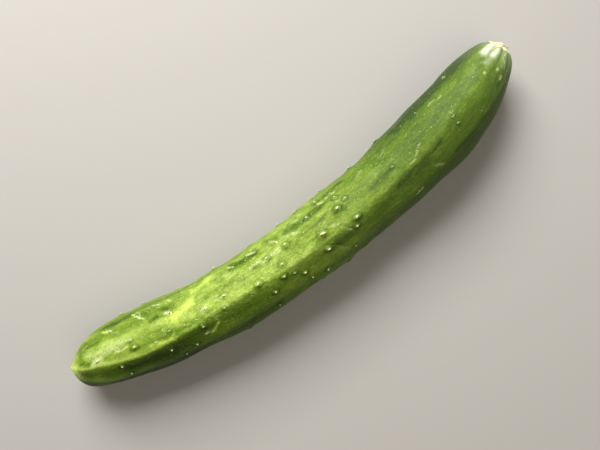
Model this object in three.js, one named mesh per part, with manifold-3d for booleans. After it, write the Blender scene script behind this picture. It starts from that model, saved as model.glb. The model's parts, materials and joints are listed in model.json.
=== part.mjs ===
// A fresh cucumber lying on its side: one ribbed, warty, gently bent fruit and the stub of its cut stem.
// Millimetres, +Z up. The fruit rests on z = 0 with its blossom tip towards -X, its stem towards +X
// and its hollow side towards +Y. The origin is under the middle of the fruit's bounding box.
import * as THREE from "three";
import { mergeVertices } from "three/addons/utils/BufferGeometryUtils.js";
import Module from "manifold-3d";

const wasm = await Module();
wasm.setup();
const { Manifold, Mesh: ManifoldMesh } = wasm;

// Driving dimensions
const AXIS_LENGTH = 274; // along the bent axis, from the blossom tip to where the stem shoulder would close
const TIP_START = -0.8; // the very tip, a little ahead of where stations count from
const TIP_LENGTH = 30; // the blossom end tapers over this length
const TIP_FULLNESS = 0.56; // under 1 is blunter than a sine
const NOSE_REACH = 2.6; // the point at the very tip
const SHOULDER_LENGTH = 56; // the stem end rounds off over this length
const SHOULDER_FULLNESS = 0.38; // 0.5 is an ellipse, and less is blunter
const SEAT_STATION = 272.3; // the lip round the stem
const SEAT_RADIUS = 4.8;
const SEAT_DEPTH = 2;
const STUB_RADIUS = 4.6;
const STUB_LENGTH = 3.4;
const STUB_GAP = 0.3; // between the stub and the seat it grows from
const STUB_LEAN = 18; // degrees that the cut face is turned towards the hollow side
// [share of the length, share of the radius] from the root to the dished, cut face
const STUB_ROWS = [
  [0, 0], [0, 0.92], [0.35, 1], [0.72, 0.92], [0.94, 0.98], [1, 0.86], [0.87, 0.5], [0.87, 0],
];
const STUB_SIDES = 20;
const STUB_CORNERS = { count: 5, height: 0.06 };

// [mm along the axis, radius in mm] before the two ends are rounded off
const BODY_RADIUS = [
  [0, 14.8], [30, 15.2], [48, 16.6], [64, 16], [85, 16.7], [102, 17.1], [125, 17], [148, 17.7], [170, 17.2],
  [205, 18.4], [218, 18.9], [238, 18.5], [274, 18.5],
];
// [mm along the axis, heading in degrees from +X]: a slightly hooked tip, then one long bend
const HEADING = [
  [0, -30], [8, -20], [16, -11], [24, -12.5], [62, -11.8], [80, -7], [100, -2.7], [145, 2], [180, 5.6],
  [200, 8.2], [230, 13.8], [252, 20.5], [274, 22],
];
// [mm along the axis, height of the axis in mm]: the fruit stands on three places along its underside
const AXIS_HEIGHT = [
  [0, 15.1], [46, 15.95], [90, 17], [144, 17.3], [180, 17.7], [217, 18.75], [240, 18.6], [274, 17.6],
];

// Relief. The sharpest ridge runs the whole length and turns slowly round the fruit, and the ribs turn
// with it. Angles are in degrees from the top, positive towards -Y.
const RIDGE_ANGLE = [
  [0, -6], [8, -2], [14, 3], [25, 10], [36, 14], [54, 14], [66, 10], [80, 5], [100, 4], [130, 5.5],
  [180, 5.5], [200, 3], [235, -1], [252, 2], [274, 2],
];
const RIDGE_HEIGHT = [[0, 0.2], [18, 0.9], [110, 0.9], [150, 0.8], [220, 0.5], [262, 0.1], [274, 0]];
const LESSER_RIDGE = 0.3; // share of the height, on two more ridges a third of a turn to each side
const RIDGE_REACH = 20; // degrees over which a ridge falls off
// The three seed chambers inside swell the section by this share of the radius
const LOBE_SHARE = [[0, 0.012], [60, 0.035], [150, 0.03], [240, 0.01], [274, 0]];
const RIB_COUNT = 10;
// Ribs meet in creases towards the blossom end, and grooves part the lobes round the stem
const RIB_HEIGHT = [[0, 0.1], [15, 0.6], [80, 0.5], [130, 0.4], [225, 0.3], [256, 0.1], [274, 0]];
const GROOVE_DEPTH = [[0, 0], [238, 0], [256, 0.3], [264, 1], [270, 1.4], [274, 1.2]];
const STEM_GROOVES = [-70, -43, -16, 11, 38, 74, 110, 146, 182, 218, 254]; // degrees from the top
const GROOVE_REACH = 6; // degrees over which a groove fades
const CREASE_ROUNDING = 2.5; // degrees over which a crease is rounded
const RELIEF_FULL_RADIUS = 10; // the relief fades away where the fruit is thinner than this

// Warts in sight from above: [mm along the axis, degrees from the top, size]
const SEEN_WARTS = [
  [19, -4, 0.9], [38, -14, 0.8], [39, -1, 1.1], [49.5, 5, 0.7], [57.5, -3, 0.7], [77, -11, 0.8],
  [88.5, -13, 1.2], [86, 3, 0.7], [105.5, 0, 1.25], [120, -4, 1.1], [144, -4, 1.6], [161.5, 7, 1.3],
  [189.5, -14, 0.6], [226, -2, 0.6], [29.5, 21, 0.9], [54.5, 27, 0.9], [73, 13, 0.9], [72.5, 27, 0.7],
  [110, 25, 1], [117.5, 12, 1.1], [122.5, 18, 0.8], [126.5, 28, 1.1], [142, 19, 1.2], [159, 18, 1],
  [225.5, 9, 0.7], [60, -32, 1], [108, -30, 0.9], [115.5, -26, 1.1], [126.5, -26, 1.2],
  [132.5, -36, 0.8], [157, -21, 1.3], [163, -27, 0.9], [28, -51, 0.7], [53, -59, 0.8], [111, -53, 0.8],
  [123, -44, 0.9], [142.5, -42, 1.1], [150.5, -61, 1], [159.5, -40, 1], [121, -84, 0.7], [140, -84, 0.8],
  [152, -84, 0.7], [217, -51, 0.6], [31, 44, 0.7], [66, 40, 0.9], [59, 52, 0.7], [128, 46, 0.9],
  [136, 52, 1], [153, 46, 0.8], [107.5, 60, 0.8], [126, 70, 0.9], [157, 76, 1], [192, 45, 0.6],
  [242, -65, 0.6],
];
// Warts out of sight stand in rows along the fruit, drawn by rule
const HIDDEN_ROWS = { first: 104, last: 262, step: 26, start: 22, end: 212, pitch: 18, spread: 11, sway: 7 };
const BARE_UNDERSIDE = 13; // degrees each side of the bottom where warts are rubbed flat
const WART = { radius: 1.8, shoulder: 0.5, height: 1.25, root: 1, sides: 6 }; // at size 1

// Faceting
const SIDES = 40; // four facets to a rib
const RINGS = 60;
const AXIS_STEPS = 546; // steps of half a millimetre when the bent axis is summed

const toRadians = THREE.MathUtils.degToRad;

// A smooth curve through a short list of [place, value] pairs.
function through(stops, at) {
  const last = stops.length - 1;
  if (at <= stops[0][0]) return stops[0][1];
  if (at >= stops[last][0]) return stops[last][1];
  const i = stops.findIndex(([place]) => place > at) - 1;
  const slope = (a, b) => (stops[b][1] - stops[a][1]) / (stops[b][0] - stops[a][0]);
  const tangent = (k) => slope(Math.max(k - 1, 0), Math.min(k + 1, last));
  const span = stops[i + 1][0] - stops[i][0];
  const t = (at - stops[i][0]) / span;
  const [t2, t3] = [t * t, t * t * t];
  return (
    stops[i][1] * (2 * t3 - 3 * t2 + 1) +
    stops[i + 1][1] * (3 * t2 - 2 * t3) +
    span * (tangent(i) * (t3 - 2 * t2 + t) + tangent(i + 1) * (t3 - t2))
  );
}

// A repeatable draw between 0 and 1.
function draw(n) {
  const x = Math.sin(n * 12.9898) * 43758.5453;
  return x - Math.floor(x);
}

// The bent axis, summed from its heading, then turned so that both ends lie on one line along X.
function bentAxis() {
  const step = AXIS_LENGTH / AXIS_STEPS;
  const points = [new THREE.Vector2(0, 0)];
  for (let i = 0; i < AXIS_STEPS; i++) {
    const heading = toRadians(through(HEADING, (i + 0.5) * step));
    const ahead = new THREE.Vector2(Math.cos(heading), Math.sin(heading));
    points.push(points[i].clone().addScaledVector(ahead, step));
  }
  const turn = -points[AXIS_STEPS].angle();
  return points.map((p) => p.rotateAround(new THREE.Vector2(0, 0), turn));
}
const AXIS = bentAxis();

// The place on the axis at a station, and the level normal there, which points to the outside of the bend.
function axisAt(station) {
  const place = Math.min((station / AXIS_LENGTH) * AXIS_STEPS, AXIS_STEPS - 1e-6);
  const i = Math.max(0, Math.floor(place));
  const along = AXIS[i + 1].clone().sub(AXIS[i]).normalize();
  const point = AXIS[i].clone().lerp(AXIS[i + 1], place - i);
  return { point, outward: new THREE.Vector2(along.y, -along.x) };
}

// The radius with both ends rounded off, before any relief.
function plainRadius(station) {
  const fromTip = Math.max(0, station - TIP_START);
  const nose = 1 - Math.exp(-fromTip / NOSE_REACH);
  const tip = nose * Math.sin((Math.PI / 2) * Math.min(1, fromTip / TIP_LENGTH) ** TIP_FULLNESS);
  const inShoulder = 1 - Math.min(1, (AXIS_LENGTH - station) / SHOULDER_LENGTH);
  return through(BODY_RADIUS, station) * tip * (1 - inShoulder * inShoulder) ** SHOULDER_FULLNESS;
}

// 1 at an angle of 0 and less to each side, with a crest that is a little rounded.
function fallOff(degrees, reach) {
  const turned = THREE.MathUtils.euclideanModulo(degrees + 180, 360) - 180;
  return Math.exp((CREASE_ROUNDING - Math.hypot(turned, CREASE_ROUNDING)) / reach);
}
const ridgeShape = (degrees) => fallOff(degrees, RIDGE_REACH);

// 1 in the middle of a groove round the stem, and near 0 between two.
function inGroove(degrees) {
  return Math.max(...STEM_GROOVES.map((middle) => fallOff(degrees - middle, GROOVE_REACH)));
}

// 0 on each rib's crest and near 1 halfway to the next, with a crest that is a little rounded.
function creased(degrees) {
  const rounding = toRadians((RIB_COUNT / 2) * CREASE_ROUNDING);
  return Math.hypot(Math.sin(toRadians((RIB_COUNT / 2) * degrees)), rounding) - rounding;
}

// Slow lumps all over, in mm.
function lumps(station, degrees) {
  const a = toRadians(degrees);
  return (
    0.2 * Math.sin(station / 7.1 + 1.3) * Math.cos(3 * a + 2) +
    0.16 * Math.sin(station / 4.3 + 2 * Math.sin(2 * a)) +
    0.14 * Math.cos(5 * a + station / 9.7)
  );
}

// The radius of the fruit's skin at a station and an angle from the top, without its warts.
function skinRadius(station, degrees) {
  const plain = plainRadius(station);
  const fromRidge = degrees - through(RIDGE_ANGLE, station);
  const lesserRidges = ridgeShape(fromRidge - 120) + ridgeShape(fromRidge + 120);
  const lobes = through(LOBE_SHARE, station) * plain * Math.cos(toRadians(3 * fromRidge));
  const ribs = through(RIB_HEIGHT, station) * (0.5 - creased(fromRidge));
  const lobed = through(GROOVE_DEPTH, station) * (0.3 - inGroove(degrees));
  const fade = Math.min(1, plain / RELIEF_FULL_RADIUS);
  const ridges = through(RIDGE_HEIGHT, station) * (ridgeShape(fromRidge) + LESSER_RIDGE * lesserRidges);
  return plain + lobes + fade * (ridges + ribs + lobed + lumps(station, degrees));
}

// A point at a radius from the axis.
function aroundAxis(station, degrees, radius) {
  const { point, outward } = axisAt(station);
  const a = toRadians(degrees);
  const side = Math.sin(a) * radius;
  const height = through(AXIS_HEIGHT, station) + Math.cos(a) * radius;
  return new THREE.Vector3(point.x + outward.x * side, point.y + outward.y * side, height);
}
const skinPoint = (station, degrees) => aroundAxis(station, degrees, skinRadius(station, degrees));

// The outward normal of the skin, from its two tangents.
function skinNormal(station, degrees) {
  const along = skinPoint(station + 0.5, degrees).sub(skinPoint(station - 0.5, degrees));
  const round = skinPoint(station, degrees + 2).sub(skinPoint(station, degrees - 2));
  return round.cross(along).normalize();
}

// The move that puts the origin under the middle of the plain fruit's bounding box.
function toOrigin() {
  const box = new THREE.Box2();
  for (let station = TIP_START; station <= AXIS_LENGTH; station++) {
    const { point, outward } = axisAt(station);
    const reach = plainRadius(station);
    box.expandByPoint(point.clone().addScaledVector(outward, reach));
    box.expandByPoint(point.clone().addScaledVector(outward, -reach));
  }
  const centre = box.getCenter(new THREE.Vector2());
  return new THREE.Vector3(-centre.x, -centre.y, 0);
}

// A closed solid from a geometry, with its shared vertices merged.
function solidOf(geometry) {
  const bare = geometry.clone();
  bare.deleteAttribute("normal");
  bare.deleteAttribute("uv");
  const merged = mergeVertices(bare, 1e-4);
  return new Manifold(
    new ManifoldMesh({
      numProp: 3,
      vertProperties: new Float32Array(merged.attributes.position.array),
      triVerts: new Uint32Array(merged.index.array),
    }),
  );
}

// A geometry from a solid, shaded by facet.
function geometryOf(solid) {
  const { vertProperties, triVerts } = solid.getMesh();
  const geometry = new THREE.BufferGeometry();
  geometry.setAttribute("position", new THREE.BufferAttribute(new Float32Array(vertProperties), 3));
  geometry.setIndex(new THREE.BufferAttribute(new Uint32Array(triVerts), 1));
  const faceted = geometry.toNonIndexed();
  faceted.computeVertexNormals();
  return faceted;
}

// A ball whose rows of vertices are moved out to rings given as [station, radius or null for the skin].
function ringedGeometry(rings, sides) {
  const geometry = new THREE.SphereGeometry(1, sides, rings.length - 1);
  const { position, uv } = geometry.attributes;
  for (let i = 0; i < position.count; i++) {
    const [station, radius] = rings[Math.round((1 - uv.getY(i)) * (rings.length - 1))];
    const column = Math.round(uv.getX(i) * sides) % sides;
    const degrees = (-360 * column) / sides + through(RIDGE_ANGLE, station);
    const p = aroundAxis(station, degrees, radius ?? skinRadius(station, degrees));
    position.setXYZ(i, p.x, p.y, p.z);
  }
  return geometry;
}

// Stations of the fruit's rings, closer together where the ends round off.
function fruitRings() {
  const rings = [[TIP_START, 0]];
  for (let i = 1; i <= RINGS; i++) {
    const share = i / RINGS;
    const eased = share - 0.75 * (Math.sin(2 * Math.PI * share) / (2 * Math.PI));
    rings.push([TIP_START + eased * (SEAT_STATION - TIP_START), null]);
  }
  const floorStation = SEAT_STATION - SEAT_DEPTH;
  rings.push([floorStation + 0.4, SEAT_RADIUS + 0.2], [floorStation, SEAT_RADIUS - 0.3], [floorStation, 0]);
  return rings;
}

// Every wart as [station, degrees, size]: those in sight, then rows drawn by rule round the rest.
function allWarts() {
  const warts = [...SEEN_WARTS];
  const { first, last, step, start, end, pitch, spread, sway } = HIDDEN_ROWS;
  for (let row = first; row <= last; row += step) {
    let n = row;
    for (let station = start + pitch * draw(n); station < end; station += pitch + spread * (draw(n) - 0.5)) {
      n += 1;
      const degrees = row + 2 * sway * (draw(n + 0.5) - 0.5);
      const size = 0.7 + 0.5 * draw(n + 0.25);
      if (Math.abs(degrees - 180) > BARE_UNDERSIDE) warts.push([station, degrees, size]);
    }
  }
  return warts;
}

// One wart: a low mound with the stump of its spine, sunk well into the skin.
function wart([station, degrees, size]) {
  const profile = [
    [0, -WART.root],
    [WART.radius * size, -WART.root * 0.6],
    [WART.radius * size * 0.62, WART.shoulder * size],
    [0, WART.height * size],
  ];
  const geometry = new THREE.LatheGeometry(profile.map(([x, y]) => new THREE.Vector2(x, y)), WART.sides);
  const upright = new THREE.Vector3(0, 1, 0);
  geometry.applyQuaternion(new THREE.Quaternion().setFromUnitVectors(upright, skinNormal(station, degrees)));
  geometry.translate(...skinPoint(station, degrees).toArray());
  return solidOf(geometry);
}

// The whole fruit, cut level where it rests on the surface.
function fruit() {
  const body = solidOf(ringedGeometry(fruitRings(), SIDES));
  const above = new THREE.BoxGeometry(400, 200, 100).translate(AXIS_LENGTH / 2, 0, 50);
  return Manifold.union([body, ...allWarts().map(wart)]).intersect(solidOf(above));
}

// The stub of the stem: five blunt corners, bent a little, and flaring towards its dished, cut face.
function stub() {
  const { point, outward } = axisAt(SEAT_STATION);
  const forward = new THREE.Vector2(-outward.y, outward.x);
  const height = through(AXIS_HEIGHT, SEAT_STATION);
  const geometry = new THREE.SphereGeometry(1, STUB_SIDES, STUB_ROWS.length - 1);
  const { position, uv } = geometry.attributes;
  for (let i = 0; i < position.count; i++) {
    const [lengthShare, radiusShare] = STUB_ROWS[Math.round((1 - uv.getY(i)) * (STUB_ROWS.length - 1))];
    const a = -2 * Math.PI * uv.getX(i);
    const radius = STUB_RADIUS * radiusShare * (1 + STUB_CORNERS.height * Math.cos(STUB_CORNERS.count * a));
    const turn = toRadians(STUB_LEAN) * lengthShare;
    const drift = (STUB_LENGTH * lengthShare * Math.tan(turn)) / 2;
    const side = Math.sin(a) * radius;
    const reach = STUB_GAP - SEAT_DEPTH + STUB_LENGTH * lengthShare + side * Math.sin(turn);
    const place = point.clone().addScaledVector(forward, reach);
    place.addScaledVector(outward, side * Math.cos(turn) - drift);
    position.setXYZ(i, place.x, place.y, height + Math.cos(a) * radius);
  }
  return solidOf(geometry);
}

const skinMaterial = new THREE.MeshStandardMaterial({ color: 0x5f8a30, roughness: 0.42, metalness: 0 });
const stemMaterial = new THREE.MeshStandardMaterial({ color: 0xd9d69a, roughness: 0.75, metalness: 0 });

function named(name, solid, material) {
  const mesh = new THREE.Mesh(geometryOf(solid), material);
  mesh.name = name;
  return mesh;
}

const cucumber = new THREE.Group();
cucumber.add(named("fruit", fruit(), skinMaterial), named("stem_stub", stub(), stemMaterial));
cucumber.position.copy(toOrigin());

export default cucumber;
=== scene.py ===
"""The looks of a fresh cucumber: ribbed, warty skin, pale spine stumps on the warts and a cut stem stub."""
import json
import math

import bpy
import numpy as np
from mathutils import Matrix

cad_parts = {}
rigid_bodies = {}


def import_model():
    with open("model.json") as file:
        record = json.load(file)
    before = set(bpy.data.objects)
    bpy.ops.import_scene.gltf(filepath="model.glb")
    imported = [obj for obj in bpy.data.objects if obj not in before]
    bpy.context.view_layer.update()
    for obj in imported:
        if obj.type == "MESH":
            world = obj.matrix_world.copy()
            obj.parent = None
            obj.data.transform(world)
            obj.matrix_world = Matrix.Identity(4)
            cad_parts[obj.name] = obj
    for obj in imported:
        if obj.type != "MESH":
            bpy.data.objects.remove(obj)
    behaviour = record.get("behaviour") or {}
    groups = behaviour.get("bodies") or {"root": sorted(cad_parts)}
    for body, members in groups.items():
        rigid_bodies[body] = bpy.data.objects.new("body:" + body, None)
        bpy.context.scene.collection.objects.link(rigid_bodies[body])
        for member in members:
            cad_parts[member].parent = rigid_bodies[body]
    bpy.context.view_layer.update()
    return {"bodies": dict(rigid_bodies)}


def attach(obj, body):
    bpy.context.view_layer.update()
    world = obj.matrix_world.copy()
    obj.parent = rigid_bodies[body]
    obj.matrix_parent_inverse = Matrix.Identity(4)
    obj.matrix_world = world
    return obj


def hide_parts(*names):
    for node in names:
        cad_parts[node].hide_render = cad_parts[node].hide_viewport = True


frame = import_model()

MM = 0.001
BODY = next(iter(frame["bodies"]))

# The fruit's form, in millimetres and degrees, as in the solids
AXIS_LENGTH = 274
TIP_START = -0.8
TIP_LENGTH = 30
TIP_FULLNESS = 0.56
NOSE_REACH = 2.6
SHOULDER_LENGTH = 56
SHOULDER_FULLNESS = 0.38
SEAT_STATION = 272.3
SEAT_RADIUS = 4.8
SEAT_DEPTH = 2
STUB_RADIUS = 4.6
STUB_LENGTH = 3.4
STUB_GAP = 0.3
STUB_LEAN = 18
BODY_RADIUS = [
    (0, 14.8), (30, 15.2), (48, 16.6), (64, 16), (85, 16.7), (102, 17.1), (125, 17), (148, 17.7), (170, 17.2),
    (205, 18.4), (218, 18.9), (238, 18.5), (274, 18.5),
]
HEADING = [
    (0, -30), (8, -20), (16, -11), (24, -12.5), (62, -11.8), (80, -7), (100, -2.7), (145, 2), (180, 5.6),
    (200, 8.2), (230, 13.8), (252, 20.5), (274, 22),
]
AXIS_HEIGHT = [
    (0, 15.1), (46, 15.95), (90, 17), (144, 17.3), (180, 17.7), (217, 18.75), (240, 18.6), (274, 17.6),
]
RIDGE_ANGLE = [
    (0, -6), (8, -2), (14, 3), (25, 10), (36, 14), (54, 14), (66, 10), (80, 5), (100, 4), (130, 5.5),
    (180, 5.5), (200, 3), (235, -1), (252, 2), (274, 2),
]
RIDGE_HEIGHT = [(0, 0.2), (18, 0.9), (110, 0.9), (150, 0.8), (220, 0.5), (262, 0.1), (274, 0)]
RIDGE_REACH = 20
LESSER_RIDGE = {"share": 0.3, "angle": 120}
LOBE_COUNT = 3
LOBE_SHARE = [(0, 0.012), (60, 0.035), (150, 0.03), (240, 0.01), (274, 0)]
RIB_COUNT = 10
RIB_HEIGHT = [(0, 0.1), (15, 0.6), (80, 0.5), (130, 0.4), (225, 0.3), (256, 0.1), (274, 0)]
GROOVE_DEPTH = [(0, 0), (238, 0), (256, 0.3), (264, 1), (270, 1.4), (274, 1.2)]
STEM_GROOVES = [-70, -43, -16, 11, 38, 74, 110, 146, 182, 218, 254]
GROOVE_REACH = 6
CREASE_ROUNDING = 2.5
RELIEF_FULL_RADIUS = 10
# The shares of a rib's height and of a groove's depth that stand out past the plain radius
RIB_OUTSIDE = 0.5
GROOVE_OUTSIDE = 0.3
# Slow lumps of three kinds, in mm: their heights, and their lengths along the fruit for each radian
CROSSED_LUMPS = {"height": 0.2, "length": 7.1}
WINDING_LUMPS = {"height": 0.16, "length": 4.3}
SPIRAL_LUMPS = {"height": 0.14, "length": 9.7}

# Warts: along the axis, degrees from the top, size
SEEN_WARTS = [
    (19, -4, 0.9), (38, -14, 0.8), (39, -1, 1.1), (49.5, 5, 0.7), (57.5, -3, 0.7), (77, -11, 0.8),
    (88.5, -13, 1.2), (86, 3, 0.7), (105.5, 0, 1.25), (120, -4, 1.1), (144, -4, 1.6), (161.5, 7, 1.3),
    (189.5, -14, 0.6), (226, -2, 0.6), (29.5, 21, 0.9), (54.5, 27, 0.9), (73, 13, 0.9), (72.5, 27, 0.7),
    (110, 25, 1), (117.5, 12, 1.1), (122.5, 18, 0.8), (126.5, 28, 1.1), (142, 19, 1.2), (159, 18, 1),
    (225.5, 9, 0.7), (60, -32, 1), (108, -30, 0.9), (115.5, -26, 1.1), (126.5, -26, 1.2),
    (132.5, -36, 0.8), (157, -21, 1.3), (163, -27, 0.9), (28, -51, 0.7), (53, -59, 0.8), (111, -53, 0.8),
    (123, -44, 0.9), (142.5, -42, 1.1), (150.5, -61, 1), (159.5, -40, 1), (121, -84, 0.7), (140, -84, 0.8),
    (152, -84, 0.7), (217, -51, 0.6), (31, 44, 0.7), (66, 40, 0.9), (59, 52, 0.7), (128, 46, 0.9),
    (136, 52, 1), (153, 46, 0.8), (107.5, 60, 0.8), (126, 70, 0.9), (157, 76, 1), (192, 45, 0.6),
    (242, -65, 0.6),
]
# The other warts lie in rows, from the first to the last in degrees, each a little off its place
HIDDEN_ROWS = {
    "first": 104, "last": 262, "step": 26, "start": 22, "end": 212, "pitch": 18, "spread": 11, "sway": 7,
    "least_size": 0.7, "size_range": 0.5,
}
BARE_UNDERSIDE = 13


def through(stops, at):
    """A smooth curve through a short list of (place, value) pairs."""
    places, values = np.array(stops, float).T
    at = np.clip(np.asarray(at, float), places[0], places[-1])
    last = len(places) - 1
    left = np.clip(np.searchsorted(places, at, side="right") - 1, 0, last - 1)
    before = np.maximum(np.arange(last + 1) - 1, 0)
    after = np.minimum(np.arange(last + 1) + 1, last)
    tangents = (values[after] - values[before]) / (places[after] - places[before])
    span = places[left + 1] - places[left]
    t = (at - places[left]) / span
    t2, t3 = t * t, t * t * t
    start, end = values[left], values[left + 1]
    bend = tangents[left] * (t3 - 2 * t2 + t) + tangents[left + 1] * (t3 - t2)
    return start * (2 * t3 - 3 * t2 + 1) + end * (3 * t2 - 2 * t3) + span * bend


def draw(n):
    """A repeatable draw between 0 and 1, the same one that the solids use."""
    x = math.sin(n * 12.9898) * 43758.5453
    return x - math.floor(x)


def cell_value(cell, seed):
    """One repeatable number between 0 and 1 for each cell of a grid, mixed by large factors."""
    mixed = cell[..., 0] * 374761393 + cell[..., 1] * 668265263 + cell[..., 2] * 2147483647 + seed * 144269504
    mixed = (mixed ^ (mixed >> 13)) * 1274126177
    mixed = mixed ^ (mixed >> 16)
    return (mixed & 0xFFFF) / 0xFFFF


def cloud(points, size, seed):
    """Smooth noise between -1 and 1, with lumps of about the given size along each axis."""
    scaled = points / np.asarray(size, float)
    cell = np.floor(scaled).astype(np.int64)
    t = scaled - cell
    t = t * t * (3 - 2 * t)
    total = np.zeros(points.shape[:-1])
    for corner in np.ndindex(2, 2, 2):
        share = np.prod(np.where(np.array(corner) == 1, t, 1 - t), axis=-1)
        total += share * cell_value(cell + np.array(corner), seed)
    return total * 2 - 1


# The bent axis
AXIS_STEPS = 546


def bent_axis():
    """Points along the axis, turned so that both ends lie on one line along X, and the turn in radians."""
    step = AXIS_LENGTH / AXIS_STEPS
    heading = np.radians(through(HEADING, (np.arange(AXIS_STEPS) + 0.5) * step))
    x = np.concatenate([[0], np.cumsum(np.cos(heading) * step)])
    y = np.concatenate([[0], np.cumsum(np.sin(heading) * step)])
    turn = -math.atan2(y[-1], x[-1])
    turned_x = x * math.cos(turn) - y * math.sin(turn)
    turned_y = x * math.sin(turn) + y * math.cos(turn)
    return turned_x, turned_y, turn


AXIS_X, AXIS_Y, AXIS_TURN = bent_axis()
AXIS_STATIONS = np.linspace(0, AXIS_LENGTH, AXIS_STEPS + 1)


def axis_at(station):
    """The axis's place at a station, and the level normal there, which points to the outside of the bend."""
    inside = np.clip(station, 0, AXIS_LENGTH)
    heading = np.radians(through(HEADING, inside)) + AXIS_TURN
    ahead = np.minimum(station, 0)
    x = np.interp(inside, AXIS_STATIONS, AXIS_X) + ahead * np.cos(heading)
    y = np.interp(inside, AXIS_STATIONS, AXIS_Y) + ahead * np.sin(heading)
    return x, y, np.sin(heading), -np.cos(heading)


def plain_radius(station):
    """The radius with both ends rounded off, before any relief."""
    from_tip = np.maximum(0, station - TIP_START)
    nose = 1 - np.exp(-from_tip / NOSE_REACH)
    tip = nose * np.sin(math.pi / 2 * np.minimum(1, from_tip / TIP_LENGTH) ** TIP_FULLNESS)
    in_shoulder = 1 - np.minimum(1, (AXIS_LENGTH - station) / SHOULDER_LENGTH)
    return through(BODY_RADIUS, station) * tip * np.maximum(0, 1 - in_shoulder**2) ** SHOULDER_FULLNESS


def wrapped(degrees):
    """An angle brought between -180 and 180."""
    return (degrees + 180) % 360 - 180


def fall_off(degrees, reach):
    """1 at an angle of 0 and less to each side, with a crest that is a little rounded."""
    return np.exp((CREASE_ROUNDING - np.hypot(wrapped(degrees), CREASE_ROUNDING)) / reach)


def in_groove(degrees):
    """How deep a place lies in the grooves round the stem: 1 in the middle of one, and near 0 between two."""
    return np.max([fall_off(degrees - middle, GROOVE_REACH) for middle in STEM_GROOVES], axis=0)


def creased(degrees):
    """0 on each rib's crest and near 1 halfway to the next, with a crest that is a little rounded."""
    half_turns = np.radians(RIB_COUNT / 2 * degrees)
    rounding = math.radians(RIB_COUNT / 2 * CREASE_ROUNDING)
    return np.hypot(np.sin(half_turns), rounding) - rounding


def lumps(station, degrees):
    """Slow lumps all over, in millimetres."""
    a = np.radians(degrees)
    return (
        CROSSED_LUMPS["height"] * np.sin(station / CROSSED_LUMPS["length"] + 1.3) * np.cos(3 * a + 2)
        + WINDING_LUMPS["height"] * np.sin(station / WINDING_LUMPS["length"] + 2 * np.sin(2 * a))
        + SPIRAL_LUMPS["height"] * np.cos(5 * a + station / SPIRAL_LUMPS["length"])
    )


def skin_radius(station, degrees):
    """The radius of the skin at a station and an angle from the top, without its warts."""
    plain = plain_radius(station)
    from_ridge = degrees - through(RIDGE_ANGLE, station)
    apart = LESSER_RIDGE["angle"]
    lesser = fall_off(from_ridge - apart, RIDGE_REACH) + fall_off(from_ridge + apart, RIDGE_REACH)
    crests = fall_off(from_ridge, RIDGE_REACH) + LESSER_RIDGE["share"] * lesser
    ridges = through(RIDGE_HEIGHT, station) * crests
    lobes = through(LOBE_SHARE, station) * plain * np.cos(np.radians(LOBE_COUNT * from_ridge))
    ribs = through(RIB_HEIGHT, station) * (RIB_OUTSIDE - creased(from_ridge))
    lobed = through(GROOVE_DEPTH, station) * (GROOVE_OUTSIDE - in_groove(degrees))
    fade = np.minimum(1, plain / RELIEF_FULL_RADIUS)
    return plain + lobes + fade * (ridges + ribs + lobed + lumps(station, degrees))


def plain_centre():
    """The middle of the plain outline's bounding box, which the origin lies under."""
    station = np.arange(TIP_START, AXIS_LENGTH)
    x, y, out_x, out_y = axis_at(station)
    reach = plain_radius(station)
    xs = np.concatenate([x + out_x * reach, x - out_x * reach])
    ys = np.concatenate([y + out_y * reach, y - out_y * reach])
    return (xs.min() + xs.max()) / 2, (ys.min() + ys.max()) / 2


CENTRE_X, CENTRE_Y = plain_centre()


def around_axis(station, degrees, radius):
    """Points at a radius from the axis, in millimetres in the row's frame."""
    x, y, out_x, out_y = axis_at(station)
    a = np.radians(degrees)
    side = np.sin(a) * radius
    height = through(AXIS_HEIGHT, station) + np.cos(a) * radius
    return np.stack([x + out_x * side - CENTRE_X, y + out_y * side - CENTRE_Y, height], axis=-1)


def all_warts():
    """Every wart: those in sight, then rows drawn by rule round the rest, as on the solids."""
    warts = list(SEEN_WARTS)
    rows = HIDDEN_ROWS
    for row in range(rows["first"], rows["last"] + 1, rows["step"]):
        n = row
        station = rows["start"] + rows["pitch"] * draw(n)
        while station < rows["end"]:
            n += 1
            degrees = row + 2 * rows["sway"] * (draw(n + 0.5) - 0.5)
            size = rows["least_size"] + rows["size_range"] * draw(n + 0.25)
            if abs(degrees - 180) > BARE_UNDERSIDE:
                warts.append((station, degrees, size))
            station += rows["pitch"] + rows["spread"] * (draw(n) - 0.5)
    return warts


WARTS = all_warts()


# Meshes


def mesh_object(name, points, faces, material):
    """A smooth mesh object from points in millimetres."""
    mesh = bpy.data.meshes.new(name)
    mesh.from_pydata((np.asarray(points) * MM).tolist(), [], faces)
    mesh.materials.append(material)
    mesh.shade_smooth()
    mesh.update()
    obj = bpy.data.objects.new(name, mesh)
    bpy.context.scene.collection.objects.link(obj)
    return obj


def add_attribute(obj, name, values):
    """A number or a vector kept on each vertex, for the material to read."""
    values = np.asarray(values, np.float32)
    kind, field = ("FLOAT_VECTOR", "vector") if values.ndim == 2 else ("FLOAT", "value")
    layer = obj.data.attributes.new(name, kind, "POINT")
    layer.data.foreach_set(field, values.ravel())


def capped_tube(rings, sides):
    """The faces of a tube of rings with a single vertex before its first ring and one after its last."""
    faces = []
    last = 1 + rings * sides
    for low in range(1, last - sides, sides):
        for side in range(sides):
            after = (side + 1) % sides
            faces.append((low + side, low + after, low + sides + after, low + sides + side))
    for side in range(sides):
        after = (side + 1) % sides
        faces.append((0, 1 + after, 1 + side))
        faces.append((last, last - sides + side, last - sides + after))
    return faces


# Materials

# The share of a dot's radius within which it is at full strength
DOT_CORE = 0.45


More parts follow.
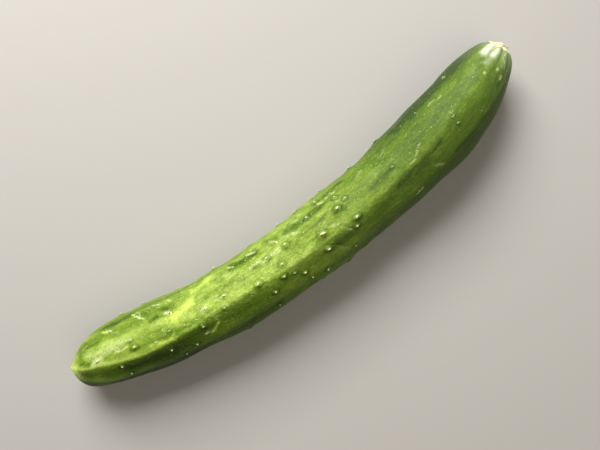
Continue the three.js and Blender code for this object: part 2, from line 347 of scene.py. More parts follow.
class Nodes:
    """A material's nodes, each added and joined up in one call."""

    def __init__(self, name):
        self.material = bpy.data.materials.new(name)
        self.material.use_nodes = True
        self.tree = self.material.node_tree
        self.shader = self.tree.nodes["Principled BSDF"]

    def feed(self, socket, value):
        if isinstance(value, bpy.types.NodeSocket):
            self.tree.links.new(value, socket)
        else:
            socket.default_value = value

    def add(self, kind, inputs, output=0, **settings):
        node = self.tree.nodes.new(kind)
        for key, value in settings.items():
            setattr(node, key, value)
        for key, value in inputs.items():
            self.feed(node.inputs[key], value)
        return node.outputs[output]

    def attribute(self, name, output="Fac"):
        return self.add("ShaderNodeAttribute", {}, output, attribute_name=name)

    def math(self, operation, *values):
        return self.add("ShaderNodeMath", dict(enumerate(values)), operation=operation)

    def plus(self, a, b):
        return self.math("ADD", a, b)

    def times(self, a, b):
        return self.math("MULTIPLY", a, b)

    def spread(self, value, low, high, out_low=0.0, out_high=1.0):
        """A value carried smoothly from one range to another, and held at its ends."""
        inputs = {"Value": value, "From Min": low, "From Max": high, "To Min": out_low, "To Max": out_high}
        return self.add("ShaderNodeMapRange", inputs, interpolation_type="SMOOTHSTEP")

    def sway(self, noise, strength):
        """Noise brought to lie evenly about 0, at a strength."""
        return self.times(self.plus(noise, -0.5), strength)

    def noise(self, vector, size, detail=3.0, roughness=0.55):
        """Noise between 0 and 1 with lumps of about the given size in millimetres."""
        inputs = {"Vector": vector, "Scale": 1 / (size * MM), "Detail": detail, "Roughness": roughness}
        return self.add("ShaderNodeTexNoise", inputs)

    def drawn_out(self, vector, share, **noise):
        """Noise with long lumps along the fruit, where its coordinate is cut down to a share."""
        inputs = {0: vector, 1: (share, 1, 1)}
        return self.noise(self.add("ShaderNodeVectorMath", inputs, operation="MULTIPLY"), **noise)

    def dots(self, vector, spacing, radius, share):
        """Soft-edged dots scattered a spacing apart, on a share of the places, sizes in millimetres."""
        cells = {"Vector": vector, "Scale": 1 / (spacing * MM)}
        distance = self.add("ShaderNodeTexVoronoi", cells, "Distance")
        chosen = self.add("ShaderNodeTexVoronoi", cells, "Color")
        near = self.spread(distance, radius / spacing, radius / spacing * DOT_CORE)
        return self.times(near, self.math("LESS_THAN", chosen, share))

    def ramp(self, value, stops):
        node = self.tree.nodes.new("ShaderNodeValToRGB")
        self.feed(node.inputs[0], value)
        elements = node.color_ramp.elements
        while len(elements) < len(stops):
            elements.new(0.5)
        for element, (place, colour) in zip(elements, stops):
            element.position = place
            element.color = (*colour, 1)
        return node.outputs[0]

    def mix(self, factor, a, b):
        """A colour between a and b."""
        a, b = ((*c, 1) if isinstance(c, tuple) else c for c in (a, b))
        return self.add("ShaderNodeMix", {0: factor, 6: a, 7: b}, 2, data_type="RGBA")

    def bump(self, height, strength, distance, normal=None):
        inputs = {"Height": height, "Strength": strength, "Distance": distance * MM}
        if normal is not None:
            inputs["Normal"] = normal
        return self.add("ShaderNodeBump", inputs)

    def finish(self, **inputs):
        """Sets the shader's inputs, named with underscores for spaces, and gives the material."""
        for key, value in inputs.items():
            self.feed(self.shader.inputs[key.replace("_", " ")], value)
        return self.material


# Linear colours
DEEP_GREEN = (0.024, 0.050, 0.004)
LEAF_GREEN = (0.080, 0.146, 0.008)
MID_GREEN = (0.190, 0.284, 0.030)
FRESH_GREEN = (0.345, 0.475, 0.090)
PALE_GREEN = (0.62, 0.73, 0.25)
SPECK = (0.66, 0.73, 0.33)
LIME = (0.64, 0.82, 0.13)
WHITE_GREEN = (0.82, 0.88, 0.66)
CORK = (0.82, 0.78, 0.40)
CREAM = (0.80, 0.77, 0.47)
SKIN_TONES = [(0, DEEP_GREEN), (0.28, LEAF_GREEN), (0.52, MID_GREEN), (0.75, FRESH_GREEN), (1, PALE_GREEN)]
SPINE_TONES = [(0, (0.14, 0.22, 0.03)), (0.4, (0.46, 0.52, 0.18)), (1, (0.74, 0.76, 0.42))]
STUB_TONES = [(0, (0.30, 0.40, 0.08)), (0.3, (0.62, 0.62, 0.24)), (0.7, CREAM), (1, (0.9, 0.87, 0.66))]

# How far mottling and streaks shift the skin's tone anywhere, and how much further where it is rough
UNEVEN_ANYWHERE = 0.24
UNEVEN_WHERE_ROUGH = 0.16
STREAKS_FURTHER = 0.04
GRAIN_SHIFT = 0.42
PATCH_SHIFT = 0.11
SPECK_STRENGTH = 0.6


def skin_material():
    """Waxy green skin: tones and marks kept on the mesh, painted shade and highlights among them, broken up
    by streaks, mottling and freckles.
    """
    n = Nodes("cucumber_skin")
    unbent = n.attribute("unbent", "Vector")
    rough = n.attribute("rough")
    mottle = n.drawn_out(unbent, 0.6, size=4.5, detail=5, roughness=0.6)
    streaks = n.drawn_out(unbent, 0.16, size=1.3, detail=5, roughness=0.6)
    grain = n.noise(unbent, size=0.9, detail=4, roughness=0.65)
    patches = n.drawn_out(unbent, 0.7, size=2.6, detail=6, roughness=0.62)
    patches = n.spread(patches, 0.44, 0.56, -0.5, 0.5)
    uneven = n.plus(n.times(rough, UNEVEN_WHERE_ROUGH), UNEVEN_ANYWHERE)
    # The tone holds painted shade and painted highlights as well as the skin's own lightness
    value = n.plus(n.attribute("tone_with_painted_shading"), n.sway(mottle, uneven))
    value = n.plus(value, n.sway(streaks, n.plus(uneven, STREAKS_FURTHER)))
    value = n.plus(value, n.sway(grain, GRAIN_SHIFT))
    value = n.plus(value, n.times(patches, n.times(rough, PATCH_SHIFT)))
    colour = n.ramp(value, SKIN_TONES)
    blotched = n.spread(n.plus(mottle, n.sway(grain, 0.6)), 0.36, 0.6, 0.35, 1)
    colour = n.mix(n.times(n.attribute("yellow"), blotched), colour, LIME)
    flecks = n.spread(n.drawn_out(unbent, 0.6, size=0.9, detail=6, roughness=0.7), 0.58, 0.66)
    freckles = n.dots(unbent, spacing=2.6, radius=0.3, share=0.34)
    scars = n.times(n.attribute("scar"), n.spread(grain, 0.36, 0.56, 0.15, 1))
    rough_flecks = n.times(flecks, n.times(rough, SPECK_STRENGTH))
    specks = n.math("MAXIMUM", n.times(freckles, SPECK_STRENGTH), rough_flecks)
    pale = n.math("MAXIMUM", scars, specks)
    colour = n.mix(pale, colour, SPECK)
    # White-green: a thin bloom all round, and painted highlights on the lobes round the stem
    colour = n.mix(n.attribute("bloom_and_highlights"), colour, WHITE_GREEN)
    colour = n.mix(n.attribute("cork"), colour, CORK)
    fine = n.bump(grain, strength=0.35, distance=0.35)
    relief = n.bump(mottle, strength=0.35, distance=1.2, normal=fine)
    return n.finish(
        Base_Color=colour,
        Roughness=n.spread(mottle, 0.3, 0.7, 0.46, 0.54),
        Normal=relief,
        IOR=1.45,
        Specular_IOR_Level=0.1,
        Sheen_Weight=0.1,
        Sheen_Roughness=0.3,
        Coat_Weight=n.attribute("gloss"),
        Coat_Roughness=0.2,
        Subsurface_Weight=0.08,
        Subsurface_Radius=(0.5, 1.0, 0.2),
        Subsurface_Scale=0.002,
    )


def spine_material():
    """Dry, pale spine stumps, greener at the root."""
    n = Nodes("spine_stumps")
    spots = n.noise(n.add("ShaderNodeTexCoord", {}, "Object"), size=0.5, detail=2)
    colour = n.ramp(n.plus(n.attribute("rise"), n.sway(spots, 0.5)), SPINE_TONES)
    relief = n.bump(spots, strength=0.3, distance=0.2)
    return n.finish(Base_Color=colour, Roughness=0.5, Normal=relief, IOR=1.45)


def stub_material():
    """The cut stem: pale and corky, and greener at its root."""
    n = Nodes("stem_stub")
    grain = n.noise(n.add("ShaderNodeTexCoord", {}, "Object"), size=0.7, detail=4)
    colour = n.ramp(n.plus(n.attribute("rise"), n.sway(grain, 0.5)), STUB_TONES)
    relief = n.bump(grain, strength=0.5, distance=0.4)
    return n.finish(Base_Color=colour, Roughness=0.7, Normal=relief, IOR=1.4)


# The skin

SKIN_RINGS = 520
SKIN_SIDES = 180
# How much closer together the rings lie at the ends, as a share of their mean spacing
END_CROWDING = 0.65
# The seat's wall: how far its rings lie above the seat's floor and outside its radius, in mm
SEAT_WALL = [(0.4, 0.2), (0, -0.3)]
# A wart of size 1, in mm, with a small nub on its mound, and how far along the fruit it is worked out
MOUND = {"height": 0.45, "along": 2.2, "across": 1.5, "nub_height": 0.35, "nub_reach": 0.8, "limit": 6}
# Round each stump the skin is a little paler, and then deeper in a collar: a darker ring that is also painted
# shade at the wart's foot
WART_PALENESS = {"most": 0.5, "starts": 0.75}
COLLAR_AND_SHADE = {"middle": 0.5, "width": 0.22, "depth": 0.2}
# How glossy the skin is, from the wax on the body to the lobes round the stem
GLOSS = [(0, 0.05), (244, 0.03), (262, 0.35), (274, 0.55)]
# How scuffed, flecked and patchy the skin is
ROUGHNESS_ALONG = [(0, 0.1), (12, 0.5), (40, 0.45), (64, 1), (118, 1), (160, 0.6), (200, 0.35), (274, 0.2)]
# How white the thin bloom is all round the fruit
STEM_BLOOM = [(0, 0), (100, 0), (170, 0.012), (254, 0.02), (264, 0.05), (274, 0.15)]
# The corky lip round the stem starts nearer the body on the side towards the hollow
CORKY_LIP = {"start": 271, "reach": 1.7, "middle": -16, "spread": 32}


def skin_stations():
    """Stations of the skin's rings, closer together where the ends round off."""
    share = np.arange(1, SKIN_RINGS + 1) / SKIN_RINGS
    eased = share - END_CROWDING * np.sin(2 * math.pi * share) / (2 * math.pi)
    return TIP_START + eased * (SEAT_STATION - TIP_START)


def mounds(station, degrees, radius):
    """The height of the warts in millimetres, and how near each place is to a wart's middle, from 0 to 1."""
    height = np.zeros_like(radius)
    nearness = np.zeros_like(radius)
    for place, angle, size in WARTS:
        near = np.abs(station[:, 0] - place) < MOUND["limit"] * size
        along = station[near] - place
        across = np.radians(wrapped(degrees[near] - angle)) * radius[near]
        broad = np.exp(-((along / (MOUND["along"] * size)) ** 2) - (across / (MOUND["across"] * size)) ** 2)
        nub = np.exp(-(along**2 + across**2) / (MOUND["nub_reach"] * size) ** 2)
        height[near] += size * (MOUND["height"] * broad + MOUND["nub_height"] * nub)
        nearness[near] = np.maximum(nearness[near], broad)
    return height, nearness


# Marks on the skin: from and to as (mm along the axis, degrees from the top), half width in mm, strength
YELLOW_MARKS = [
    ((-1, 0), (4, 0), 3.6, 1.4), ((57, -18), (61, -20), 1.8, 0.3), ((59, -17), (62, -18), 2.4, 0.5),
    ((62, -22), (67, -26), 3.2, 0.8), ((65, -23), (72, -33), 2.2, 0.75), ((69, -32), (74, -54), 2.5, 0.5),
    ((74, -50), (85, -66), 2.2, 0.5), ((62, -13), (80, -10), 2, 0.45), ((84, -9), (100, -7), 1.8, 0.25),
    ((47, 8), (58, 6), 1.2, 0.4), ((75, 29), (77, 25), 0.5, 0.8), ((77, 25), (80, 18), 0.45, 0.7),
    ((24, -58), (27, -50), 0.8, 0.6), ((3, 2), (16, 4), 0.9, 0.5),
]
# Dark-green patches, and painted shade in the grooves round the stem
DARK_PATCHES_AND_GROOVE_SHADE = [
    ((70, -27), (140, -27), 2.2, 0.13), ((188, -30), (212, -30), 2, 0.08), ((32, 31), (48, 30), 1.6, 0.12),
    ((10, -52), (26, -56), 2.2, 0.12), ((11, -37), (21, -36), 2.2, 0.36), ((25, -70), (40, -66), 2.2, 0.28),
    ((44, -54), (50, -54), 1.5, 0.2), ((8, -8), (15, -4), 1.4, 0.26), ((57, -48), (62, -40), 1.6, 0.26),
    ((88, -40), (92, -36), 1.5, 0.16), ((98, -54), (112, -50), 2.6, 0.36),
    ((118, -60), (124, -56), 1.8, 0.24), ((131, -51), (139, -45), 2.5, 0.32),
    ((142, -45), (151, -46), 2.6, 0.28), ((147, 20), (155, 21), 2.1, 0.2),
    ((150, -58), (166, -66), 1.8, 0.2), ((154, -15), (160, -13), 1.2, 0.2),
    ((176, -10), (188, -12), 1.4, 0.14), ((186, 12), (214, 8), 1.1, 0.2),
    ((204, -66), (250, -62), 2.6, 0.16), ((216, 36), (264, 50), 1.3, 0.16),
    ((136, -22), (150, -24), 1, 0.16), ((122, -20), (131, -16), 1.1, 0.16), ((36, 2), (58, 3), 0.9, 0.12),
    ((60, 4), (76, 2), 1, 0.14), ((50, -30), (54, -34), 1, 0.26), ((76, -5), (80, -4), 0.9, 0.26),
    ((263, -17), (268, -16), 0.7, 0.25), ((268, -17), (271, -16), 0.9, 0.5),
    ((264, 10), (271, 11), 0.7, 0.12), ((252, 30), (270, 42), 1.2, 0.16), ((196, 18), (204, 14), 1.2, 0.12),
]
SCARS = [
    ((21, -13), (30, -12), 1.5, 0.5), ((15, -16), (23, -20), 1.6, 0.35), ((24, -22), (34, -18), 1.3, 0.45),
    ((17.5, -4), (20.5, -4), 1.5, 0.8), ((29, -6), (36, -7), 0.5, 0.8), ((34, -17), (40, -16), 0.5, 0.6),
    ((58.2, -37), (60.6, -32), 0.9, 1), ((41, -68), (42.5, -54), 0.4, 0.9),
    ((42.5, -54), (48, -42), 0.4, 0.9), ((43.5, -66), (45.5, -48), 0.35, 0.56),
    ((26.5, -57), (28.5, -51), 0.6, 0.8), ((30, -44), (33, -40), 0.5, 0.4),
    ((53, -62), (56, -59), 0.7, 0.7), ((60, -66), (61, -58), 0.6, 0.6),
    ((75.5, -10), (77.5, -12), 1.1, 0.8), ((80, 2), (80.6, 14), 0.3, 0.49),
    ((72, 28), (73.5, 26), 0.7, 0.7), ((96, -60), (99, -52), 0.6, 0.7), ((93, -42), (96, -46), 0.8, 0.5),
    ((108, -62), (112, -52), 0.6, 0.8), ((121, -56), (123.5, -42), 0.6, 0.8),
    ((113, -26), (114.5, -25), 0.7, 0.7), ((117, -28), (119.5, -27), 0.8, 0.6),
    ((121, -29), (123.5, -27), 0.9, 0.7), ((129, -40), (134, -33), 1, 0.6),
    ((106, -28), (111, -30), 0.7, 0.7), ((112, -26), (114, -25), 0.6, 0.7),
    ((119, -26), (123, -22), 0.6, 0.5), ((151.5, -53), (153.5, -51), 0.6, 0.8),
    ((156, -54), (157, -54), 0.4, 0.7), ((159, -58), (161, -54), 0.45, 0.8),
    ((159.5, -33), (160.5, -31), 0.35, 0.6), ((136.5, -59), (138, -57), 0.45, 0.6),
    ((139.5, -66), (141, -64), 0.45, 0.6), ((150, -4), (153, -1), 0.9, 0.45),
    ((138, -50), (140, -38), 0.3, 0.21), ((142, 12), (146, 24), 0.3, 0.28),
    ((146, 24), (150, 42), 0.3, 0.24), ((153, 5), (156, 20), 0.35, 0.5),
    ((142, -8), (149, -18), 0.25, 0.28), ((148, -6), (158, 2), 0.25, 0.24),
    ((194.5, 3), (201, -2), 0.3, 0.42), ((201, -2), (207, -11), 0.3, 0.46),
    ((190.5, 48), (195, 47), 0.4, 0.9), ((205, 30), (208, 38), 0.8, 0.3),
    ((174, -44), (178, -50), 0.5, 0.22), ((188, -44), (194, -52), 0.5, 0.25),
    ((224, -40), (227, -43), 0.4, 0.42), ((229, -37), (231, -38), 0.4, 0.42),
    ((226.5, -9), (227, -2), 0.25, 0.35), ((252.5, -4), (253, -4), 0.5, 0.8),
    ((258.5, 16), (259.5, 16), 0.6, 0.8), ((256, 28), (257, 28), 0.6, 0.8),
    ((261, 30), (267, 18), 0.3, 0.42), ((241, -65), (243, -65), 0.4, 0.5), ((268, 22), (272, 30), 0.6, 0.4),
    ((181, -21), (184, -24), 0.3, 0.24), ((84, -14), (88, -11), 0.6, 0.5),
]
# Painted highlights: white-green on the glossy lobes round the stem that face the light
LOBE_HIGHLIGHTS = [
    ((264, -27), (269, -28), 2.5, 0.8), ((264, -5), (267.5, -3), 2.1, 0.66),
    ((258, -12), (263, -7), 1.8, 0.22), ((261, 22), (270, 24), 1.4, 0.12),
]
# Shallow folds and wrinkles, with their depth in mm
FOLDS = [
    ((141, 10), (146, 24), 0.7, 0.3), ((146, 24), (150, 42), 0.8, 0.3), ((153, 5), (156.5, 20), 0.7, 0.25),
    ((138, -1), (141.5, -7), 0.6, 0.3), ((146, -9), (148, 0), 0.5, 0.35),
    ((147.5, -8), (150, 2), 0.5, 0.25), ((139, 4), (149, 5), 0.8, 0.3), ((112, 8), (118, 16), 0.9, 0.2),
    ((58, -38), (61, -30), 0.9, 0.35), ((102, 6), (108, 5), 0.8, 0.25), ((154, -16), (160, -17), 0.8, 0.25),
    ((32, 22), (36, 24), 0.8, 0.2),
]
# How many half widths past its ends a mark is worked out
MARK_LIMIT = 3
# How far the marks wander off their lines, in mm, and over what lengths
MARK_WANDER = 0.8
MARK_WANDER_SIZE = (4, 3, 3)
# Slow dents all over: depth in mm, size in mm along each axis, seed
DENTS = [(0.13, (11, 6, 6), 1), (0.07, (5, 3.2, 3.2), 2)]


def strokes(station, degrees, radius, marks, drift):
    """The strongest of the marks at each place, each a soft line on the skin, moved by a drift in mm."""
    strongest = np.zeros_like(radius)
    for (first, first_angle), (last, last_angle), width, strength in marks:
        middle = (first + last) / 2
        near = np.abs(station[:, 0] - middle) < abs(last - first) / 2 + MARK_LIMIT * width
        reach = np.radians(last_angle - first_angle) * radius[near]
        along = station[near] - first + drift[0][near]
        across = np.radians(wrapped(degrees[near] - first_angle)) * radius[near] + drift[1][near]
        length = (last - first) ** 2 + reach**2
        share = np.clip((along * (last - first) + across * reach) / length, 0, 1)
        gap = np.hypot(along - share * (last - first), across - share * reach)
        strongest[near] = np.maximum(strongest[near], strength * np.exp(-((gap / width) ** 2)))
    return strongest


# How light the skin is along the fruit above the sharp ridge, and how much painted shade darkens it below the
# ridge
TONE_ALONG = [
    (0, 0.8), (8, 0.58), (15, 0.68), (25, 0.61), (40, 0.58), (55, 0.51), (70, 0.6), (85, 0.64), (100, 0.62),
    (120, 0.62), (140, 0.54), (165, 0.41), (180, 0.36), (200, 0.28), (220, 0.26), (240, 0.28), (258, 0.32),
    (273, 0.42),
]
SHADE_BELOW_RIDGE = [
    (0, 0.05), (6, 0.24), (20, 0.33), (40, 0.41), (60, 0.38), (80, 0.33), (100, 0.31), (120, 0.2),
    (160, 0.11), (200, 0.04), (273, 0.03),
]
# Painted shade on the upper flank, towards the edge away from the ridge
SHADE_ON_FLANK = [(0, 0), (20, 0.19), (60, 0.09), (85, 0.14), (150, 0), (200, 0.16), (240, 0.38), (273, 0.3)]
# Painted shade in the shallow valley above the sharp ridge
VALLEY_SHADE = [(0, 0), (10, 0.06), (22, 0.12), (40, 0.06), (58, 0.13), (75, 0.12), (90, 0)]
# Painted light on the ribs' crests and painted shade between them
RIB_LIGHT_AND_SHADE = [(0, 0), (8, 0.1), (60, 0.06), (150, 0.03), (273, 0.02)]
# A painted highlight along the sharp ridge's crest
CREST_HIGHLIGHT = [(0, 0.1), (10, 0.16), (30, 0.07), (55, 0.05), (70, 0.02), (273, 0)]
# Painted shade towards the lower edge, past the ridge
EDGE_SHADE = [(0, 0.18), (45, 0.2), (60, 0.15), (100, 0.18), (125, 0.09), (273, 0.12)]
# Where those tones start and are full, in degrees from the sharp ridge
BELOW_RIDGE = (-1, 5.5)
BELLY = (110, 170)
FLANK = (35, 75)
EDGE = (36, 54)
CREST_WIDTH = 2.4
VALLEY = {"middle": -9, "width": 5}
# How many degrees sooner the painted shade below the ridge starts, along the fruit
ABOVE_CREST = [(0, 0), (8, 3), (28, 3), (40, -1), (52, 3), (65, 4), (105, 4), (120, 1), (140, 0), (273, 0)]
# How far the scuffs reach past the ridge and over the flank, and how rough the rest is
SCUFFED_BELOW = (-4, 10)
SCUFFED_ABOVE = (75, 120)
LEAST_ROUGH = 0.3


def step_up(low, high, value):
    """0 below low, 1 above high, and smooth between."""
    share = np.clip((value - low) / (high - low), 0, 1)
    return share * share * (3 - 2 * share)


def tone_with_painted_shading(station, degrees, radius, drift):
    """How light the skin is, from 0 for deep green to 1 for pale, and palest above the sharp ridge, with
    painted shade below it, towards both edges, in a valley, between the ribs and in the grooves by the stem,
    and painted light on the crests.
    """
    from_ridge = wrapped(degrees - through(RIDGE_ANGLE, station))
    shaded_below = step_up(*BELOW_RIDGE, from_ridge + through(ABOVE_CREST, station))
    shaded_below *= 1 - step_up(*BELLY, from_ridge)
    flank_shade = step_up(*FLANK, -from_ridge)
    crest_highlight = np.exp(-((from_ridge / CREST_WIDTH) ** 2))
    valley_shade = np.exp(-(((from_ridge - VALLEY["middle"]) / VALLEY["width"]) ** 2))
    light = through(TONE_ALONG, station) - through(SHADE_BELOW_RIDGE, station) * shaded_below
    light += through(CREST_HIGHLIGHT, station) * crest_highlight - through(SHADE_ON_FLANK, station) * flank_shade
    light += through(RIB_LIGHT_AND_SHADE, station) * np.cos(np.radians(RIB_COUNT * from_ridge))
    light -= through(VALLEY_SHADE, station) * valley_shade
    light -= through(EDGE_SHADE, station) * step_up(*EDGE, from_ridge)
    return light - strokes(station, degrees, radius, DARK_PATCHES_AND_GROOVE_SHADE, drift)


def roughness_round(station, degrees):
    """How far the scuffs and flecks reach round the fruit: mostly on the flank above the sharp ridge."""
    from_ridge = wrapped(degrees - through(RIDGE_ANGLE, station))
    scuffed = (1 - step_up(*SCUFFED_BELOW, from_ridge)) * (1 - step_up(*SCUFFED_ABOVE, -from_ridge))
    return LEAST_ROUGH + (1 - LEAST_ROUGH) * scuffed


def skin():
    """The fruit: a fine closed skin with ribs, lumps and warts, flattened where it rests on the surface."""
    station = np.repeat(skin_stations()[:, None], SKIN_SIDES, axis=1)
    degrees = np.arange(SKIN_SIDES) * 360 / SKIN_SIDES + through(RIDGE_ANGLE, station)
    smooth = skin_radius(station, degrees)
    bumps, nearness = mounds(station, degrees, smooth)
    a = np.radians(degrees)
    straight = np.stack([station, smooth * np.sin(a), smooth * np.cos(a)], axis=-1)
    dents = sum(depth * cloud(straight, size, seed) for depth, size, seed in DENTS)
    drift = [MARK_WANDER * cloud(straight, MARK_WANDER_SIZE, seed) for seed in (3, 4)]
    dents -= strokes(station, degrees, smooth, FOLDS, drift)
    radius = smooth + np.minimum(1, smooth / RELIEF_FULL_RADIUS) * dents + bumps
    outside = around_axis(station, degrees, radius).reshape(-1, 3)
    tip = around_axis(np.full(1, TIP_START), np.zeros(1), np.zeros(1))
    floor_station = SEAT_STATION - SEAT_DEPTH
    sides = np.ones(SKIN_SIDES)
    seat_rings = [
        around_axis(sides * (floor_station + rise), degrees[-1], sides * (SEAT_RADIUS + beyond))
        for rise, beyond in SEAT_WALL
    ]
    middle = around_axis(np.array([floor_station]), np.zeros(1), np.zeros(1))
    points = np.concatenate([tip, outside, *seat_rings, middle])
    points[:, 2] = np.maximum(points[:, 2], 0)
    faces = capped_tube(SKIN_RINGS + len(SEAT_WALL), SKIN_SIDES)
    obj = mesh_object("skin", points, faces, skin_material())
    tail = len(SEAT_WALL) * SKIN_SIDES + 1
    seat_straight = np.full((tail, 3), (floor_station, 0, 0))
    unbent = np.concatenate([[(TIP_START, 0, 0)], straight.reshape(-1, 3), seat_straight])
    add_attribute(obj, "unbent", unbent * MM)

    def keep(name, values):
        """Keeps a value for each place on the skin, with the seat taking the last ring's mean."""
        in_seat = np.full(tail, values[-1].mean())
        add_attribute(obj, name, np.concatenate([values[0, :1], values.ravel(), in_seat]))

    # The collar darkens the skin round each wart's foot, partly as painted shade
    collar_and_shade = COLLAR_AND_SHADE["depth"] * np.exp(-(((nearness - COLLAR_AND_SHADE["middle"]) / COLLAR_AND_SHADE["width"]) ** 2))
    stump_paleness = WART_PALENESS["most"] * step_up(WART_PALENESS["starts"], 1, nearness)
    keep("tone_with_painted_shading", tone_with_painted_shading(station, degrees, smooth, drift) - collar_and_shade)
    keep("yellow", strokes(station, degrees, smooth, YELLOW_MARKS, drift))
    keep("scar", np.maximum(strokes(station, degrees, smooth, SCARS, drift), stump_paleness))
    # Painted highlights on the lobes round the stem, kept together with the thin bloom
    lobe_highlights = strokes(station, degrees, smooth, LOBE_HIGHLIGHTS, drift)
    keep("bloom_and_highlights", np.maximum(lobe_highlights, through(STEM_BLOOM, station)))
    keep("rough", through(ROUGHNESS_ALONG, station) * roughness_round(station, degrees))
    keep("gloss", through(GLOSS, station))
    from_middle = wrapped(degrees - CORKY_LIP["middle"]) / CORKY_LIP["spread"]
    lip_start = CORKY_LIP["start"] - CORKY_LIP["reach"] * np.exp(-(from_middle**2))
    keep("cork", step_up(0, 1, station - lip_start + drift[0]))
    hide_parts("fruit")
    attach(obj, BODY)


# The spine stumps

SPINE_SIDES = 10
# The radius and height of each ring from the root up, in mm on a wart of size 1
SPINE_PROFILE = [(0.36, -0.5), (0.44, -0.1), (0.46, 0.1), (0.4, 0.24), (0.28, 0.35), (0.15, 0.42)]
SPINE_TIP = 0.44
SPINE_LEAN = 0.5
# A big wart's stump is drawn out along the fruit, and each is turned a little its own way, in degrees
SPINE_LENGTH = {"least": 0.8, "range": 0.3}
BIG_WART = 0.9
SPINE_STRETCH = 2
SPINE_NARROWNESS = 0.88
SPINE_SWAY = 28
# How far to each side the skin's slope is taken, in mm along the fruit and in degrees round it
SLOPE_STEP = 0.5
SLOPE_TURN = 2


def skin_frame(station, degrees, lift):
    """A place a little above the skin, and the skin's normal and its direction along the fruit there."""
    def at(s, d):
        return around_axis(np.array(s), np.array(d), skin_radius(np.array(s), np.array(d)) + lift)

    along = at(station + SLOPE_STEP, degrees) - at(station - SLOPE_STEP, degrees)
    around = at(station, degrees + SLOPE_TURN) - at(station, degrees - SLOPE_TURN)
    normal = np.cross(around, along)
    return at(station, degrees), normal / np.linalg.norm(normal), along / np.linalg.norm(along)


def spines():
    """The pale stump of a spine on every wart, each leaning over a little its own way."""
    points, faces, rises = [], [], []
    turn = np.arange(SPINE_SIDES) * 2 * math.pi / SPINE_SIDES
    for number, (station, degrees, size) in enumerate(WARTS):
        foot, normal, along = skin_frame(station, degrees, size * (MOUND["height"] + MOUND["nub_height"]))
        across = np.cross(normal, along)
        sway = math.radians(SPINE_SWAY) * (2 * draw(number + 3.5) - 1)
        long_side = math.cos(sway) * along + math.sin(sway) * across
        short_side = SPINE_NARROWNESS * np.cross(normal, long_side)
        way = 2 * math.pi * draw(number + 1.5)
        lean = SPINE_LEAN * (math.cos(way) * along + math.sin(way) * across)
        long = SPINE_LENGTH["least"] + SPINE_LENGTH["range"] * draw(number + 7.5)
        long += SPINE_STRETCH * max(0, size - BIG_WART)
        first = len(points)
        rows = [foot + SPINE_PROFILE[0][1] * normal * size]
        for radius, height in SPINE_PROFILE:
            middle = foot + size * (height * normal + max(0, height) * height * lean)
            for angle in turn:
                ring = math.cos(angle) * long_side * long + math.sin(angle) * short_side
                rows.append(middle + size * radius * ring)
        rows.append(foot + size * (SPINE_TIP * normal + SPINE_TIP**2 * lean))
        points += rows
        faces += [tuple(first + i for i in face) for face in capped_tube(len(SPINE_PROFILE), SPINE_SIDES)]
        rises += [0] + [max(0, h) / SPINE_TIP for _, h in SPINE_PROFILE for _ in range(SPINE_SIDES)] + [1]
    points = np.array(points)
    points[:, 2] = np.maximum(points[:, 2], 0)
    obj = mesh_object("spine_stumps", points, faces, spine_material())
    add_attribute(obj, "rise", rises)
    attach(obj, BODY)


# The stem stub

STUB_SIDES = 60
# Shares of the stub's length and radius, from its root over the rim and down into the dish
STUB_ROWS = [
    (0, 0.92), (0.15, 0.97), (0.35, 1), (0.55, 0.97), (0.72, 0.92), (0.84, 0.95), (0.94, 0.98), (0.99, 0.94),
    (1, 0.86), (0.97, 0.74), (0.92, 0.62), (0.88, 0.48), (0.86, 0.3), (0.87, 0.15),
]
STUB_DISH = 0.87
STUB_CORNERS = {"count": 5, "height": 0.06}


def stub():
    """The stub of the stem: five blunt corners, and a dished, cut face that leans to the hollow side."""
    x, y, out_x, out_y = axis_at(SEAT_STATION)
    forward = np.array([-out_y, out_x, 0])
    outward = np.array([out_x, out_y, 0])
    root = np.array([x - CENTRE_X, y - CENTRE_Y, through(AXIS_HEIGHT, SEAT_STATION)])

    def at(length_share, radius_share, a):
        corners = 1 + STUB_CORNERS["height"] * math.cos(STUB_CORNERS["count"] * a)
        radius = STUB_RADIUS * radius_share * corners
        turn = math.radians(STUB_LEAN) * length_share
        drift = STUB_LENGTH * length_share * math.tan(turn) / 2
        side = math.sin(a) * radius
        reach = STUB_GAP - SEAT_DEPTH + STUB_LENGTH * length_share + side * math.sin(turn)
        level = forward * reach + outward * (side * math.cos(turn) - drift)
        return root + level + np.array([0, 0, math.cos(a) * radius])

    points = [at(0, 0, 0)]
    rises = [0]
    angles = [2 * math.pi * side / STUB_SIDES for side in range(STUB_SIDES)]
    for length_share, radius_share in STUB_ROWS:
        points += [at(length_share, radius_share, angle) for angle in angles]
        rises += [length_share] * STUB_SIDES
    points.append(at(STUB_DISH, 0, 0))
    rises.append(STUB_DISH)
    obj = mesh_object("stub", points, capped_tube(len(STUB_ROWS), STUB_SIDES), stub_material())
    add_attribute(obj, "rise", rises)
    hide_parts("stem_stub")
    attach(obj, BODY)


# Camera, floor and light

# Lengths are in metres, apart from the sensor's millimetres
PHOTO_WIDTH_AT_AXIS = 0.300
PHOTO_TURN = math.radians(-36.95)
CAMERA_DISTANCE = 0.32
AXIS_PLANE = 0.017
PICTURE_CENTRE = (0.00077, 0.00471)
SENSOR_WIDTH = 36
NEAREST_SEEN = 0.01
WINDOW = {
    "azimuth": 112, "elevation": 42, "distance": 0.9, "width": 0.6, "height": 0.5, "power": 15,
    "colour": (1, 0.985, 0.95),
}
WARM_FILL = {
    "azimuth": -55, "elevation": 62, "distance": 0.9, "width": 0.7, "height": 0.7, "power": 2.2,
    "colour": (1, 0.92, 0.72),
}
SKY_STRENGTH = 0.12
FLOOR_COLOUR = (0.42, 0.405, 0.385, 1)
# In millimetres, with the floor a little below the fruit so that they never share a plane
FLOOR_REACH = 2500
FLOOR_HEIGHT = -0.05


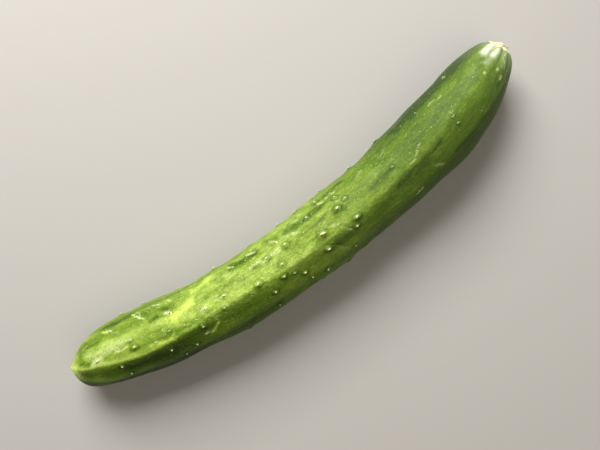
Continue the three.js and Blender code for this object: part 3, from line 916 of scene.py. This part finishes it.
def camera():
    """Straight above, turned so that the fruit lies as in the photograph."""
    data = bpy.data.cameras.new("camera")
    data.sensor_width = SENSOR_WIDTH
    data.lens = SENSOR_WIDTH * CAMERA_DISTANCE / PHOTO_WIDTH_AT_AXIS
    data.clip_start = NEAREST_SEEN
    obj = bpy.data.objects.new("camera", data)
    obj.location = (*PICTURE_CENTRE, AXIS_PLANE + CAMERA_DISTANCE)
    obj.rotation_euler = (0, 0, PHOTO_TURN)
    bpy.context.scene.collection.objects.link(obj)
    bpy.context.scene.camera = obj


def area_light(name, azimuth, elevation, distance, width, height, power, colour):
    """A soft rectangular light that faces the fruit from an azimuth counted from the picture's right."""
    data = bpy.data.lights.new(name, "AREA")
    data.shape = "RECTANGLE"
    data.size = width
    data.size_y = height
    data.energy = power
    data.color = colour
    obj = bpy.data.objects.new(name, data)
    heading = math.radians(azimuth) + PHOTO_TURN
    tilt = math.radians(elevation)
    away = np.array([math.cos(heading) * math.cos(tilt), math.sin(heading) * math.cos(tilt), math.sin(tilt)])
    obj.location = away * distance
    obj.rotation_euler = (math.pi / 2 - tilt, 0, heading + math.pi / 2)
    bpy.context.scene.collection.objects.link(obj)


def floor():
    """A plain, pale floor under the fruit, which isn't part of it."""
    material = Nodes("pale_floor").finish(Base_Color=FLOOR_COLOUR, Roughness=0.85)
    sides = [(-1, -1), (1, -1), (1, 1), (-1, 1)]
    corners = [(FLOOR_REACH * x, FLOOR_REACH * y, FLOOR_HEIGHT) for x, y in sides]
    mesh_object("floor", corners, [(0, 1, 2, 3)], material)


def lights():
    """One broad light, a weak warm one opposite and a little light from all round."""
    area_light("window", **WINDOW)
    area_light("warm fill", **WARM_FILL)
    world = bpy.data.worlds.new("studio")
    world.use_nodes = True
    world.node_tree.nodes["Background"].inputs["Color"].default_value = (1, 1, 1, 1)
    world.node_tree.nodes["Background"].inputs["Strength"].default_value = SKY_STRENGTH
    bpy.context.scene.world = world
    bpy.context.scene.view_settings.view_transform = "Standard"


camera()
lights()
floor()
skin()
spines()
stub()
